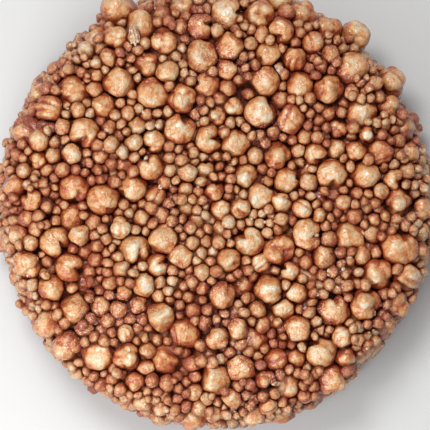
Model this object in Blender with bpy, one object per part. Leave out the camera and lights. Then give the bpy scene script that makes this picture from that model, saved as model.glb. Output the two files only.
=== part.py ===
"""Chocolate amaranth bite: a pressed disc of popped and half-popped amaranth, bound by set cocoa syrup.

One solid. A lumpy core of syrup and small grain carries the large puffs that show on its crown and
wall. Every grain finds its place by one seeded settling rule. Lengths are in millimetres until a mesh
is made, which is in metres.
"""
import math

import bmesh
import bpy
import numpy as np
from mathutils import Matrix, Quaternion, Vector

MM = 0.001
SEED = 11

# The pressed disc: its skin is the surface that the outermost grains touch.
BITE_RADIUS = 24.8
BITE_HEIGHT = 12.1
SHOULDER = 3.6
LEAST_SHOULDER = 0.8
WALL_LEAN = 0.6
DOME = 0.8

# Unevenness of the skin: the spacing of its lumps, and how far they rise or sink.
BROAD_LUMPS = (9.0, 0.45)
FINE_LUMPS = (3.1, 0.42)
RIM_LUMPS = (5.0, 0.45)
LUMP_GRID = 24

# Grain kinds: share by number, smallest and largest diameter, and where the grain's outer side lies
# from the skin in its own radii, from deepest to proudest.
GRAIN_KINDS = (
    (0.735, 1.02, 1.40, -1.40, 0.50),
    (0.120, 1.40, 2.05, -0.60, 0.40),
    (0.145, 2.05, 3.75, -0.15, 0.50),
)
PUFF = 2
GRAIN_COUNT = 3300

# The large puffs that stand out on the crown: x, y and diameter. They are set first and stay put.
LANDMARK_PUFFS = (
    (-10.8, 22.0, 3.5), (-1.7, 20.4, 3.0), (7.0, 23.4, 3.2), (15.9, 19.4, 3.5),
    (-10.8, 14.0, 3.5), (5.6, 14.2, 3.4), (15.3, 15.7, 3.7), (19.7, 14.0, 3.5),
    (-18.6, 11.2, 3.1), (-7.3, 4.6, 3.1), (7.0, 6.0, 3.2), (13.1, 3.8, 3.5),
    (-5.8, -3.5, 3.4), (3.8, -3.8, 3.4), (10.3, -2.9, 3.5), (20.6, 0.6, 3.2),
    (20.6, -4.4, 4.0), (-16.4, -6.7, 3.2), (-15.8, -11.2, 3.4), (-6.1, -12.2, 3.1),
    (-16.6, -15.4, 3.6), (-2.7, -23.4, 3.6), (13.3, -11.5, 3.7), (20.2, -10.7, 3.2),
)
LANDMARK_PROUD = 0.30
LANDMARK_LOWEST = 7.6

# The grains fill a shell round the inner core, and lie flat on the tray under it.
SHELL_DEPTH = 2.9
SHELL_FLOOR = 2.2
TRAY_SQUASH = 0.88
SETTLE_STEPS = 220
SETTLE_PULL = 0.04
SETTLE_PUSH = 0.8
NEIGHBOUR_STEPS = 10
NEIGHBOUR_REACH = 0.6

# The bound mass under the puffs, and the faceted puffs fused to it.
CORE_DEPTH = 1.2
CORE_SEGMENTS = 40
CORE_FOOT = 0.7
CROWN_RINGS = 5
SHOULDER_RINGS = 3
FUSED_GRAINS = 330
FUSED_SMALLEST = 1.4
FUSED_SHOWS = 0.7
FUSED_GRIP = 0.65
FUSED_SWELL = 1.13
FUSED_LOWEST = 0.3
TRIANGLES = 11600

NODE = "amaranth_bite"
COCOA_BROWN = (0.36, 0.16, 0.08, 1.0)
COCOA_ROUGHNESS = 0.42

TINY = 1e-9


def lump_grids(rng):
    """One square grid of heights from -1 to 1 for each kind of lump."""
    grids = {}
    for spacing, _ in (BROAD_LUMPS, FINE_LUMPS, RIM_LUMPS):
        grids[spacing] = rng.random((LUMP_GRID, LUMP_GRID)) * 2.0 - 1.0
    return grids


def lumps(x, y, kind, grids):
    """Height of the lumps at x, y: a grid of random heights, joined smoothly."""
    spacing, rise = kind
    grid = grids[spacing]
    u = x / spacing + (LUMP_GRID - 1) / 2
    v = y / spacing + (LUMP_GRID - 1) / 2
    column = np.floor(u).astype(int)
    row = np.floor(v).astype(int)
    across = u - column
    along = v - row
    across = across * across * (3.0 - 2.0 * across)
    along = along * along * (3.0 - 2.0 * along)
    near = grid[column, row] * (1.0 - across) + grid[column + 1, row] * across
    far = grid[column, row + 1] * (1.0 - across) + grid[column + 1, row + 1] * across
    return rise * (near * (1.0 - along) + far * along)


def crown_height(x, y, grids):
    """Height of the skin over x, y: a low dome with broad lumps."""
    dome = DOME * (x * x + y * y) / BITE_RADIUS ** 2
    return BITE_HEIGHT - dome + lumps(x, y, BROAD_LUMPS, grids)


def wall_radius(east, north, z, grids):
    """Radius of the skin at height z, in the direction of the unit vector east, north."""
    waves = lumps(east * BITE_RADIUS, north * BITE_RADIUS, RIM_LUMPS, grids)
    return BITE_RADIUS + waves - WALL_LEAN * z / BITE_HEIGHT


def skin_distance(centres, depth, grids, fine):
    """Distance of each centre from the skin lowered by depth, and the way out. Inside is negative."""
    x, y, z = centres
    out = np.sqrt(x * x + y * y) + TINY
    east = x / out
    north = y / out
    shoulder = max(SHOULDER - depth / 2, LEAST_SHOULDER)
    top = crown_height(x, y, grids) - depth
    if fine:
        top = top + lumps(x, y, FINE_LUMPS, grids)
    beyond_wall = out - (wall_radius(east, north, z, grids) - depth - shoulder)
    above_top = z - (top - shoulder)
    on_shoulder = (beyond_wall > 0) & (above_top > 0)
    reach = np.sqrt(beyond_wall ** 2 + above_top ** 2) + TINY
    distance = np.where(on_shoulder, reach, np.maximum(beyond_wall, above_top)) - shoulder
    outward = np.where(on_shoulder, beyond_wall / reach, beyond_wall > above_top)
    upward = np.where(on_shoulder, above_top / reach, beyond_wall <= above_top)
    return distance, np.array((outward * east, outward * north, upward))


def draw_grains(rng):
    """Kinds, radii and stand of all grains, with the landmark puffs first."""
    share, smallest, largest, deepest, proudest = np.array(GRAIN_KINDS).T
    kinds = rng.choice(len(GRAIN_KINDS), GRAIN_COUNT, p=share)
    spread = rng.random(GRAIN_COUNT)
    spread = spread * (0.75 + 0.25 * spread)
    radii = (smallest[kinds] + (largest - smallest)[kinds] * spread) / 2
    proud = deepest[kinds] + (proudest - deepest)[kinds] * rng.random(GRAIN_COUNT)
    landmarks = len(LANDMARK_PUFFS)
    kinds[:landmarks] = PUFF
    radii[:landmarks] = [diameter / 2 for _, _, diameter in LANDMARK_PUFFS]
    proud[:landmarks] = LANDMARK_PROUD
    return kinds, radii, proud


def scatter(radii, proud, grids, rng):
    """First places: landmarks at the skin, the other grains anywhere in the shell."""
    reach = BITE_RADIUS + 1.0
    found = []
    missing = len(radii)
    while missing > 0:
        tries = rng.random((3, 3 * len(radii))) * np.array([[2 * reach], [2 * reach], [BITE_HEIGHT]])
        tries = tries - np.array([[reach], [reach], [0.0]])
        below_skin, _ = skin_distance(tries, 0.0, grids, True)
        above_core, _ = skin_distance(tries, SHELL_DEPTH, grids, False)
        kept = (below_skin < -0.3) & ((above_core > 0) | (tries[2] < SHELL_FLOOR))
        found.append(tries[:, kept][:, :missing])
        missing -= found[-1].shape[1]
    centres = np.concatenate(found, axis=1)
    landmarks = len(LANDMARK_PUFFS)
    centres[:2, :landmarks] = np.array(LANDMARK_PUFFS).T[:2]
    centres[2, :landmarks] = BITE_HEIGHT
    for _ in range(NEIGHBOUR_STEPS * 4):
        distance, _ = skin_distance(centres, 0.0, grids, True)
        excess = np.maximum(distance + radii * (1.0 - proud), 0)
        centres[2, :landmarks] -= excess[:landmarks]
    centres[2, :landmarks] = np.maximum(centres[2, :landmarks], LANDMARK_LOWEST)
    return centres


def neighbours(centres, radii):
    """Pairs of grains that touch or may soon touch."""
    gap = np.zeros((len(radii), len(radii)))
    for axis in centres:
        gap += (axis[:, None] - axis) ** 2
    reach = radii[:, None] + radii + NEIGHBOUR_REACH
    return np.nonzero(np.triu(gap < reach * reach, 1))


def push_apart(centres, radii, firm, pairs):
    """Overlapping grains move apart, the lighter one further. Firm grains stay where they are."""
    first, second = pairs
    apart = centres[:, first] - centres[:, second]
    length = np.sqrt(apart[0] ** 2 + apart[1] ** 2 + apart[2] ** 2) + TINY
    overlap = radii[first] + radii[second] - length
    hit = overlap > 0
    first = first[hit]
    second = second[hit]
    push = apart[:, hit] * (overlap[hit] * SETTLE_PUSH / length[hit])
    weight = radii ** 3
    first_share = weight[second] / (weight[first] + weight[second])
    first_share = np.where(firm[second], 1.0, np.where(firm[first], 0.0, first_share))
    for axis in range(3):
        centres[axis] += np.bincount(first, push[axis] * first_share, len(radii))
        centres[axis] -= np.bincount(second, push[axis] * (1.0 - first_share), len(radii))


def keep_in_shell(centres, radii, proud, grids):
    """Grains stay on the tray, under the skin and out of the inner core."""
    centres[2] = np.maximum(centres[2], TRAY_SQUASH * radii)
    distance, way_out = skin_distance(centres, 0.0, grids, True)
    centres -= way_out * np.maximum(distance + radii * (1.0 - proud), 0)
    distance, way_out = skin_distance(centres, SHELL_DEPTH, grids, False)
    to_floor = centres[2] - SHELL_FLOOR
    inside = (distance < 0) & (to_floor > 0)
    leaves_down = inside & (to_floor < -distance)
    leaves_out = inside & ~leaves_down
    centres[2] -= np.where(leaves_down, to_floor, 0.0)
    centres -= way_out * np.where(leaves_out, distance, 0.0)


def settle(grids, rng):
    """Settle the grains against the skin and the tray, as they pack in a mould."""
    kinds, radii, proud = draw_grains(rng)
    centres = scatter(radii, proud, grids, rng)
    firm = np.arange(GRAIN_COUNT) < len(LANDMARK_PUFFS)
    places = centres[:, firm]
    for step in range(SETTLE_STEPS):
        if step % NEIGHBOUR_STEPS == 0:
            pairs = neighbours(centres, radii)
        pull = SETTLE_PULL * (1.0 - step / SETTLE_STEPS)
        distance, way_out = skin_distance(centres, 0.0, grids, True)
        to_tray = centres[2] < -distance
        centres += pull * np.where(to_tray, np.array([[0.0], [0.0], [-1.0]]), way_out)
        push_apart(centres, radii, firm, pairs)
        keep_in_shell(centres, radii, proud, grids)
        centres[:, firm] = places
    return centres, radii


def core_profile():
    """Half-section of the core from the middle of its base to the middle of its crown."""
    foot = BITE_RADIUS - CORE_DEPTH
    head = foot - WALL_LEAN
    top = BITE_HEIGHT - CORE_DEPTH
    shoulder = SHOULDER - CORE_DEPTH / 2
    points = [(0.0, 0.0), (foot - CORE_FOOT, 0.0), (foot, CORE_FOOT), ((foot + head) / 2, top / 2)]
    for ring in range(SHOULDER_RINGS + 1):
        turn = math.pi / 2 * ring / SHOULDER_RINGS
        points.append((head - shoulder * (1 - math.cos(turn)), top - shoulder * (1 - math.sin(turn))))
    flat = head - shoulder
    for ring in range(CROWN_RINGS):
        points.append((flat * (CROWN_RINGS - 1 - ring) / CROWN_RINGS, top))
    return points


def make_core(grids):
    """The bound mass: the half-section turned about the axis, then raised and sunk with the skin."""
    mesh = bmesh.new()
    corners = [mesh.verts.new((out, 0.0, z)) for out, z in core_profile()]
    sides = [mesh.edges.new(pair) for pair in zip(corners, corners[1:])]
    bmesh.ops.spin(mesh, geom=corners + sides, cent=(0, 0, 0), axis=(0, 0, 1),
                   angle=math.tau, steps=CORE_SEGMENTS, use_duplicate=False)
    bmesh.ops.remove_doubles(mesh, verts=mesh.verts, dist=0.01)
    for corner in mesh.verts:
        x, y, z = corner.co
        out = math.hypot(x, y)
        if z == 0.0 or out < TINY:
            continue
        rise = crown_height(np.array([x]), np.array([y]), grids)[0] - BITE_HEIGHT
        waves = lumps(np.array([x / out * BITE_RADIUS]), np.array([y / out * BITE_RADIUS]),
                      RIM_LUMPS, grids)[0]
        corner.co.z += rise * z / BITE_HEIGHT
        corner.co.xy *= 1.0 + waves / BITE_RADIUS
    bmesh.ops.recalc_face_normals(mesh, faces=mesh.faces)
    return new_object(NODE, mesh)


def make_puff(name, centre, radius, rng):
    """A faceted puff, turned at random and pressed flat where it would reach the tray."""
    mesh = bmesh.new()
    bmesh.ops.create_icosphere(mesh, subdivisions=1, radius=radius * FUSED_SWELL)
    turn = Quaternion(rng.normal(size=4)).normalized()
    place = Matrix.Translation(Vector(centre)) @ turn.to_matrix().to_4x4()
    bmesh.ops.transform(mesh, matrix=place, verts=mesh.verts)
    for corner in mesh.verts:
        corner.co.z = max(corner.co.z, FUSED_LOWEST)
    return new_object(name, mesh)


def new_object(name, mesh):
    """An object in metres from a mesh in millimetres."""
    bmesh.ops.scale(mesh, vec=(MM, MM, MM), verts=mesh.verts)
    data = bpy.data.meshes.new(name)
    mesh.to_mesh(data)
    mesh.free()
    return bpy.data.objects.new(name, data)


def grains_to_fuse(centres, radii, grids):
    """The largest grains that stand out of the core and have a hold in it."""
    distance, _ = skin_distance(centres, CORE_DEPTH, grids, False)
    shows = (distance + radii > FUSED_SHOWS) & (distance < FUSED_GRIP * radii)
    shows &= radii > FUSED_SMALLEST / 2
    largest_first = np.argsort(-radii, kind="stable")
    return [grain for grain in largest_first if shows[grain]][:FUSED_GRAINS]


def fuse(core, puffs):
    """Join the puffs to the core in one Boolean union, and remove them."""
    for puff in puffs.objects:
        puff.hide_render = True
        puff.display_type = "WIRE"
    union = core.modifiers.new("puffs", "BOOLEAN")
    union.operation = "UNION"
    union.operand_type = "COLLECTION"
    union.collection = puffs
    union.solver = "EXACT"
    bpy.context.view_layer.update()
    fused = bpy.data.meshes.new_from_object(core.evaluated_get(bpy.context.evaluated_depsgraph_get()))
    core.modifiers.remove(union)
    core.data = fused
    for puff in list(puffs.objects):
        bpy.data.objects.remove(puff)
    bpy.data.collections.remove(puffs)


def keep_largest_shell(core):
    """Fill the hollows that fusing seals and drop loose scraps: only the outer shell stays."""
    mesh = bmesh.new()
    mesh.from_mesh(core.data)
    waiting = set(mesh.verts)
    shells = []
    while waiting:
        shell = {waiting.pop()}
        edge_of_shell = list(shell)
        while edge_of_shell:
            corner = edge_of_shell.pop()
            for side in corner.link_edges:
                other = side.other_vert(corner)
                if other not in shell:
                    shell.add(other)
                    edge_of_shell.append(other)
        waiting -= shell
        shells.append(shell)
    shells.sort(key=len)
    for shell in shells[:-1]:
        bmesh.ops.delete(mesh, geom=list(shell), context="VERTS")
    bmesh.ops.triangulate(mesh, faces=mesh.faces)
    mesh.to_mesh(core.data)
    mesh.free()


def merge_slivers(core):
    """Collapse the slivers along the joins, until the solid has its count of triangles."""
    slivers = core.modifiers.new("slivers", "DECIMATE")
    slivers.ratio = min(1.0, TRIANGLES / len(core.data.polygons))
    slivers.use_collapse_triangulate = True
    bpy.context.view_layer.update()
    merged = bpy.data.meshes.new_from_object(core.evaluated_get(bpy.context.evaluated_depsgraph_get()))
    core.modifiers.remove(slivers)
    core.data = merged


def cocoa_material():
    """Set cocoa syrup over toasted grain."""
    material = bpy.data.materials.new("cocoa_coated_grain")
    material.use_nodes = True
    shader = material.node_tree.nodes["Principled BSDF"]
    shader.inputs["Base Color"].default_value = COCOA_BROWN
    shader.inputs["Roughness"].default_value = COCOA_ROUGHNESS
    shader.inputs["Metallic"].default_value = 0.0
    return material


def main():
    for old in list(bpy.data.objects):
        bpy.data.objects.remove(old)
    rng = np.random.default_rng(SEED)
    grids = lump_grids(rng)
    centres, radii = settle(grids, rng)
    bite = bpy.data.collections.new("chocolate_amaranth_bite")
    puffs = bpy.data.collections.new("puffs_to_fuse")
    bpy.context.scene.collection.children.link(bite)
    bpy.context.scene.collection.children.link(puffs)
    core = make_core(grids)
    bite.objects.link(core)
    for grain in grains_to_fuse(centres, radii, grids):
        puffs.objects.link(make_puff(f"puff_{grain}", centres[:, grain], radii[grain], rng))
    fuse(core, puffs)
    keep_largest_shell(core)
    merge_slivers(core)
    core.data.materials.clear()
    core.data.materials.append(cocoa_material())


main()
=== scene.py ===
import math

import bmesh
import bpy
import numpy as np
from mathutils import Matrix, Vector, noise


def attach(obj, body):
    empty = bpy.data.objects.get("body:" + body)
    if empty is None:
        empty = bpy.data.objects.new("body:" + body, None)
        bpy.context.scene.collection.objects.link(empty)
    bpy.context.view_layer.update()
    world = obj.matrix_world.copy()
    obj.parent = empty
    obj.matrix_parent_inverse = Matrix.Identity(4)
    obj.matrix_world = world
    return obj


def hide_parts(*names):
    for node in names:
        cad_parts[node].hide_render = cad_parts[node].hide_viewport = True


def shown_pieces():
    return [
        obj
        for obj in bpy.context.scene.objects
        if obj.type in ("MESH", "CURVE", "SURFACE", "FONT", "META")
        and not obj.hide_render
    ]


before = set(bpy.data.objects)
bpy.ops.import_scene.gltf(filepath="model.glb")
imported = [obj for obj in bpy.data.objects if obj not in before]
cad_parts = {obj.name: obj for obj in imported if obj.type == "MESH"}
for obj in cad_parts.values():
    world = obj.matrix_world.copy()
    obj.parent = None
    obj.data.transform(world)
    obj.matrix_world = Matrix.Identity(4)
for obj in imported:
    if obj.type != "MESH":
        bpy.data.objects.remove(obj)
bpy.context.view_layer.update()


# --------------------------------------
# Mixing and pressing. Popped, half-popped and unpopped amaranth is stirred with warm cocoa syrup and
# pressed by hand into a ring on a flat tray. This section settles the grains in the ring, by the same
# seeded rule as the solid, so every grain lies where the solid has it. Lengths are in millimetres.
MM = 0.001
TINY = 1e-9
SEED = 11
BITE_RADIUS = 24.8
BITE_HEIGHT = 12.1
SHOULDER = 3.6
LEAST_SHOULDER = 0.8
WALL_LEAN = 0.6
DOME = 0.8

# Lumps of the skin: how far apart, and how high.
BROAD_LUMPS = (9.0, 0.45)
FINE_LUMPS = (3.1, 0.42)
RIM_LUMPS = (5.0, 0.45)
LUMP_GRID = 24

# Share by number, smallest and largest diameter, and stand from the skin in radii, deepest to proudest.
GRAIN_KINDS = (
    (0.735, 1.02, 1.40, -1.40, 0.50),
    (0.120, 1.40, 2.05, -0.60, 0.40),
    (0.145, 2.05, 3.75, -0.15, 0.50),
)
UNPOPPED, HALF_POPPED, POPPED = range(3)
GRAIN_COUNT = 3300

# The large puffs that stand out on the crown: x, y, diameter, the form it popped to, and where its
# notch or crease points, in degrees from +X.
LANDMARK_PUFFS = (
    (-10.8, 22.0, 3.5, "round", 0), (-1.7, 20.4, 3.0, "curled", 10),
    (7.0, 23.4, 3.2, "round", 0), (15.9, 19.4, 3.5, "curled", -60),
    (-10.8, 14.0, 3.5, "round", 0), (5.6, 14.2, 3.4, "round", 0),
    (15.3, 15.7, 3.7, "round", 0), (19.7, 14.0, 3.5, "lobed", 0),
    (-18.6, 11.2, 3.1, "creased", 80), (-7.3, 4.6, 3.1, "curled", 120),
    (7.0, 6.0, 3.2, "lobed", 0), (13.1, 3.8, 3.5, "curled", -90),
    (-5.8, -3.5, 3.4, "round", 0), (3.8, -3.8, 3.4, "curled", 135),
    (10.3, -2.9, 3.5, "curled", 0), (20.6, 0.6, 3.2, "lobed", 0),
    (20.6, -4.4, 4.0, "curled", 80), (-16.4, -6.7, 3.2, "curled", -20),
    (-15.8, -11.2, 3.4, "round", 0), (-6.1, -12.2, 3.1, "round", 0),
    (-16.6, -15.4, 3.6, "lobed", 0), (-2.7, -23.4, 3.6, "lobed", 0),
    (13.3, -11.5, 3.7, "curled", 100), (20.2, -10.7, 3.2, "lobed", 0),
)
LANDMARK_PROUD = 0.30
LANDMARK_LOWEST = 7.6

SHELL_DEPTH = 2.9
SHELL_FLOOR = 2.2
TRAY_SQUASH = 0.88
SETTLE_STEPS = 220
SETTLE_PULL = 0.04
SETTLE_PUSH = 0.8
NEIGHBOUR_STEPS = 10
NEIGHBOUR_REACH = 0.6


def lump_grids(rng):
    """One square grid of heights from -1 to 1 for each kind of lump."""
    grids = {}
    for spacing, _ in (BROAD_LUMPS, FINE_LUMPS, RIM_LUMPS):
        grids[spacing] = rng.random((LUMP_GRID, LUMP_GRID)) * 2.0 - 1.0
    return grids


def eased(share):
    """A share from nought to one, eased at both ends."""
    return share * share * (3.0 - 2.0 * share)


def lumps(x, y, kind, grids):
    """Height of the lumps at x, y: a grid of random heights, joined smoothly."""
    spacing, rise = kind
    grid = grids[spacing]
    u = x / spacing + (LUMP_GRID - 1) / 2
    v = y / spacing + (LUMP_GRID - 1) / 2
    column = np.floor(u).astype(int)
    row = np.floor(v).astype(int)
    across = eased(u - column)
    along = eased(v - row)
    near = grid[column, row] * (1.0 - across) + grid[column + 1, row] * across
    far = grid[column, row + 1] * (1.0 - across) + grid[column + 1, row + 1] * across
    return rise * (near * (1.0 - along) + far * along)


def crown_height(x, y, grids):
    """Height of the skin over x, y: a low dome with broad lumps."""
    dome = DOME * (x * x + y * y) / BITE_RADIUS ** 2
    return BITE_HEIGHT - dome + lumps(x, y, BROAD_LUMPS, grids)


def wall_radius(east, north, z, grids):
    """Radius of the skin at height z, in the direction of the unit vector east, north."""
    waves = lumps(east * BITE_RADIUS, north * BITE_RADIUS, RIM_LUMPS, grids)
    return BITE_RADIUS + waves - WALL_LEAN * z / BITE_HEIGHT


def skin_distance(centres, depth, grids, fine):
    """Distance of each centre from the skin lowered by depth, and the way out. Inside is negative."""
    x, y, z = centres
    out = np.sqrt(x * x + y * y) + TINY
    east = x / out
    north = y / out
    shoulder = max(SHOULDER - depth / 2, LEAST_SHOULDER)
    top = crown_height(x, y, grids) - depth
    if fine:
        top = top + lumps(x, y, FINE_LUMPS, grids)
    beyond_wall = out - (wall_radius(east, north, z, grids) - depth - shoulder)
    above_top = z - (top - shoulder)
    on_shoulder = (beyond_wall > 0) & (above_top > 0)
    reach = np.sqrt(beyond_wall ** 2 + above_top ** 2) + TINY
    distance = np.where(on_shoulder, reach, np.maximum(beyond_wall, above_top)) - shoulder
    outward = np.where(on_shoulder, beyond_wall / reach, beyond_wall > above_top)
    upward = np.where(on_shoulder, above_top / reach, beyond_wall <= above_top)
    return distance, np.array((outward * east, outward * north, upward))


def draw_grains(rng):
    """Kinds, radii and stand of all grains, with the landmark puffs first."""
    share, smallest, largest, deepest, proudest = np.array(GRAIN_KINDS).T
    kinds = rng.choice(len(GRAIN_KINDS), GRAIN_COUNT, p=share)
    spread = rng.random(GRAIN_COUNT)
    spread = spread * (0.75 + 0.25 * spread)
    radii = (smallest[kinds] + (largest - smallest)[kinds] * spread) / 2
    proud = deepest[kinds] + (proudest - deepest)[kinds] * rng.random(GRAIN_COUNT)
    landmarks = len(LANDMARK_PUFFS)
    kinds[:landmarks] = POPPED
    radii[:landmarks] = [puff[2] / 2 for puff in LANDMARK_PUFFS]
    proud[:landmarks] = LANDMARK_PROUD
    return kinds, radii, proud


def scatter(radii, proud, grids, rng):
    """First places: landmarks at the skin, the other grains anywhere in the shell."""
    reach = BITE_RADIUS + 1.0
    found = []
    missing = len(radii)
    while missing > 0:
        tries = rng.random((3, 3 * len(radii))) * np.array([[2 * reach], [2 * reach], [BITE_HEIGHT]])
        tries = tries - np.array([[reach], [reach], [0.0]])
        below_skin, _ = skin_distance(tries, 0.0, grids, True)
        above_core, _ = skin_distance(tries, SHELL_DEPTH, grids, False)
        kept = (below_skin < -0.3) & ((above_core > 0) | (tries[2] < SHELL_FLOOR))
        found.append(tries[:, kept][:, :missing])
        missing -= found[-1].shape[1]
    centres = np.concatenate(found, axis=1)
    landmarks = len(LANDMARK_PUFFS)
    centres[0, :landmarks] = [puff[0] for puff in LANDMARK_PUFFS]
    centres[1, :landmarks] = [puff[1] for puff in LANDMARK_PUFFS]
    centres[2, :landmarks] = BITE_HEIGHT
    for _ in range(NEIGHBOUR_STEPS * 4):
        distance, _ = skin_distance(centres, 0.0, grids, True)
        excess = np.maximum(distance + radii * (1.0 - proud), 0)
        centres[2, :landmarks] -= excess[:landmarks]
    centres[2, :landmarks] = np.maximum(centres[2, :landmarks], LANDMARK_LOWEST)
    return centres


def pairs_within(centres, radii, reach):
    """Pairs of grains whose sides are nearer than reach."""
    gap = np.zeros((len(radii), len(radii)))
    for axis in centres:
        gap += (axis[:, None] - axis) ** 2
    limit = radii[:, None] + radii + reach
    return np.nonzero(np.triu(gap < limit * limit, 1))


def push_apart(centres, radii, firm, pairs):
    """Overlapping grains move apart, the lighter one further. Firm grains stay where they are."""
    first, second = pairs
    apart = centres[:, first] - centres[:, second]
    length = np.sqrt(apart[0] ** 2 + apart[1] ** 2 + apart[2] ** 2) + TINY
    overlap = radii[first] + radii[second] - length
    hit = overlap > 0
    first = first[hit]
    second = second[hit]
    push = apart[:, hit] * (overlap[hit] * SETTLE_PUSH / length[hit])
    weight = radii ** 3
    first_share = weight[second] / (weight[first] + weight[second])
    first_share = np.where(firm[second], 1.0, np.where(firm[first], 0.0, first_share))
    for axis in range(3):
        centres[axis] += np.bincount(first, push[axis] * first_share, len(radii))
        centres[axis] -= np.bincount(second, push[axis] * (1.0 - first_share), len(radii))


def keep_in_shell(centres, radii, proud, grids):
    """Grains stay on the tray, under the skin and out of the inner core."""
    centres[2] = np.maximum(centres[2], TRAY_SQUASH * radii)
    distance, way_out = skin_distance(centres, 0.0, grids, True)
    centres -= way_out * np.maximum(distance + radii * (1.0 - proud), 0)
    distance, way_out = skin_distance(centres, SHELL_DEPTH, grids, False)
    to_floor = centres[2] - SHELL_FLOOR
    inside = (distance < 0) & (to_floor > 0)
    leaves_down = inside & (to_floor < -distance)
    leaves_out = inside & ~leaves_down
    centres[2] -= np.where(leaves_down, to_floor, 0.0)
    centres -= way_out * np.where(leaves_out, distance, 0.0)


def settle(grids, rng):
    """Settle the grains against the skin and the tray, as they pack in the ring."""
    kinds, radii, proud = draw_grains(rng)
    centres = scatter(radii, proud, grids, rng)
    firm = np.arange(GRAIN_COUNT) < len(LANDMARK_PUFFS)
    places = centres[:, firm]
    for step in range(SETTLE_STEPS):
        if step % NEIGHBOUR_STEPS == 0:
            pairs = pairs_within(centres, radii, NEIGHBOUR_REACH)
        pull = SETTLE_PULL * (1.0 - step / SETTLE_STEPS)
        distance, way_out = skin_distance(centres, 0.0, grids, True)
        to_tray = centres[2] < -distance
        centres += pull * np.where(to_tray, np.array([[0.0], [0.0], [-1.0]]), way_out)
        push_apart(centres, radii, firm, pairs)
        keep_in_shell(centres, radii, proud, grids)
        centres[:, firm] = places
    return centres, radii, kinds


rng = np.random.default_rng(SEED)
grids = lump_grids(rng)
grain_centres, grain_radii, grain_kinds = settle(grids, rng)
grain_centres = grain_centres.T.copy()


# --------------------------------------
# Beads caught on the rim, and what shows of the heap. Small beads stuck to the outside of the rim as
# the ring was lifted off, each held by two grains. A grain that hardly any line of sight reaches is
# left out. The others know which way is out, and which neighbours they stick to.
STUCK_TRIES = 5000
STUCK_BEADS = 230
STUCK_RADII = (0.42, 0.62)
STUCK_OVERLAP = 0.14
STUCK_TOUCH = 0.05
STUCK_SLANT = 0.2
STUCK_ASIDE = (0.3, 1.2)
STUCK_LOWEST = 2.4
STUCK_RIM = 19.5
RIM_PUFF = 22.5
RIM_PUFF_REACH = 2.7
SEEN_LINES = 12.5
SIGHT_LINES = 240
SIGHT_REACH = 6.0
SIGHT_SHRINK = 0.80
INWARD_LIMIT = -0.25
STUCK_NEIGHBOURS = 14


def lengths(vectors):
    """How long each vector is."""
    return np.sqrt((vectors ** 2).sum(axis=-1))


def unit(vectors):
    """Vectors of length one."""
    return vectors / (lengths(vectors)[..., None] + TINY)


def fan_of_lines(count):
    """Directions spread evenly over a ball."""
    turn = np.arange(count) * math.pi * (3.0 - math.sqrt(5.0))
    height = 1.0 - (2.0 * np.arange(count) + 1.0) / count
    across = np.sqrt(1.0 - height ** 2)
    return np.column_stack((across * np.cos(turn), across * np.sin(turn), height))


def way_out_of_heap(centres):
    """Unit vectors from each place to the nearest of the crown, the wall and the tray."""
    distance, way_out = skin_distance(centres.T, 0.0, grids, False)
    to_tray = centres[:, 2] < -distance
    return np.where(to_tray[:, None], np.array([0.0, 0.0, -1.0]), way_out.T)


def beads_stuck_on(draw):
    """Small beads that caught in the dips of the rim and beside its large puffs. Each is let fall
    inward until it touches. Those that two grains hold are kept, the deepest first."""
    tries = draw.integers(0, len(grain_radii), STUCK_TRIES)
    fall = unit(way_out_of_heap(grain_centres[tries]) + STUCK_SLANT * draw.normal(size=(STUCK_TRIES, 3)))
    aside = unit(np.cross(fall, draw.normal(size=(STUCK_TRIES, 3))))
    aside *= grain_radii[tries, None] * draw.uniform(*STUCK_ASIDE, (STUCK_TRIES, 1))
    starts = grain_centres[tries] + aside
    radii = draw.uniform(*STUCK_RADII, STUCK_TRIES)
    found = []
    for start, way, radius in zip(starts, fall, radii):
        apart = start - grain_centres
        along = apart @ way
        touch = along ** 2 - (apart ** 2).sum(axis=1) + (grain_radii + radius - STUCK_OVERLAP) ** 2
        found.append(start + way * (np.sqrt(touch[touch > 0]) - along[touch > 0]).max())
    found = np.array(found)
    even_rim = grids | {RIM_LUMPS[0]: grids[RIM_LUMPS[0]] * 0.0}
    stand, _ = skin_distance(found.T, 0.0, even_rim, True)
    for grain, puff in enumerate(LANDMARK_PUFFS):
        if math.hypot(puff[0], puff[1]) > RIM_PUFF:
            stand -= lengths(found - grain_centres[grain]) < RIM_PUFF_REACH
    at_rim = (np.hypot(found[:, 0], found[:, 1]) > STUCK_RIM) & (found[:, 2] > STUCK_LOWEST)
    kept = []
    for bead in np.argsort(stand, kind="stable"):
        gaps = lengths(grain_centres - found[bead]) - grain_radii - radii[bead]
        apart = lengths(found[kept] - found[bead])
        held = (gaps < STUCK_TOUCH).sum() > 1
        if held and at_rim[bead] and (apart > radii[kept] + radii[bead]).all():
            kept.append(bead)
    kept = kept[:STUCK_BEADS]
    return found[kept], radii[kept]


def look_round(grain, sight):
    """The share of the lines of sight that leave this grain freely, and its nearest neighbours."""
    toward = grain_centres - grain_centres[grain]
    far = lengths(toward) + TINY
    near = np.nonzero((far < SIGHT_REACH) & (np.arange(len(far)) != grain))[0]
    toward = toward[near] / far[near, None]
    shade = np.minimum(SIGHT_SHRINK * grain_radii[near] / far[near], 0.99)
    hidden = (toward @ sight.T > np.sqrt(1.0 - shade ** 2)[:, None]).any(axis=0)
    hidden |= sight @ grain_outward[grain] < INWARD_LIMIT
    spare = far[near] - grain_radii[near]
    return 1.0 - hidden.mean(), near[np.argsort(spare)[:STUCK_NEIGHBOURS]]


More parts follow.
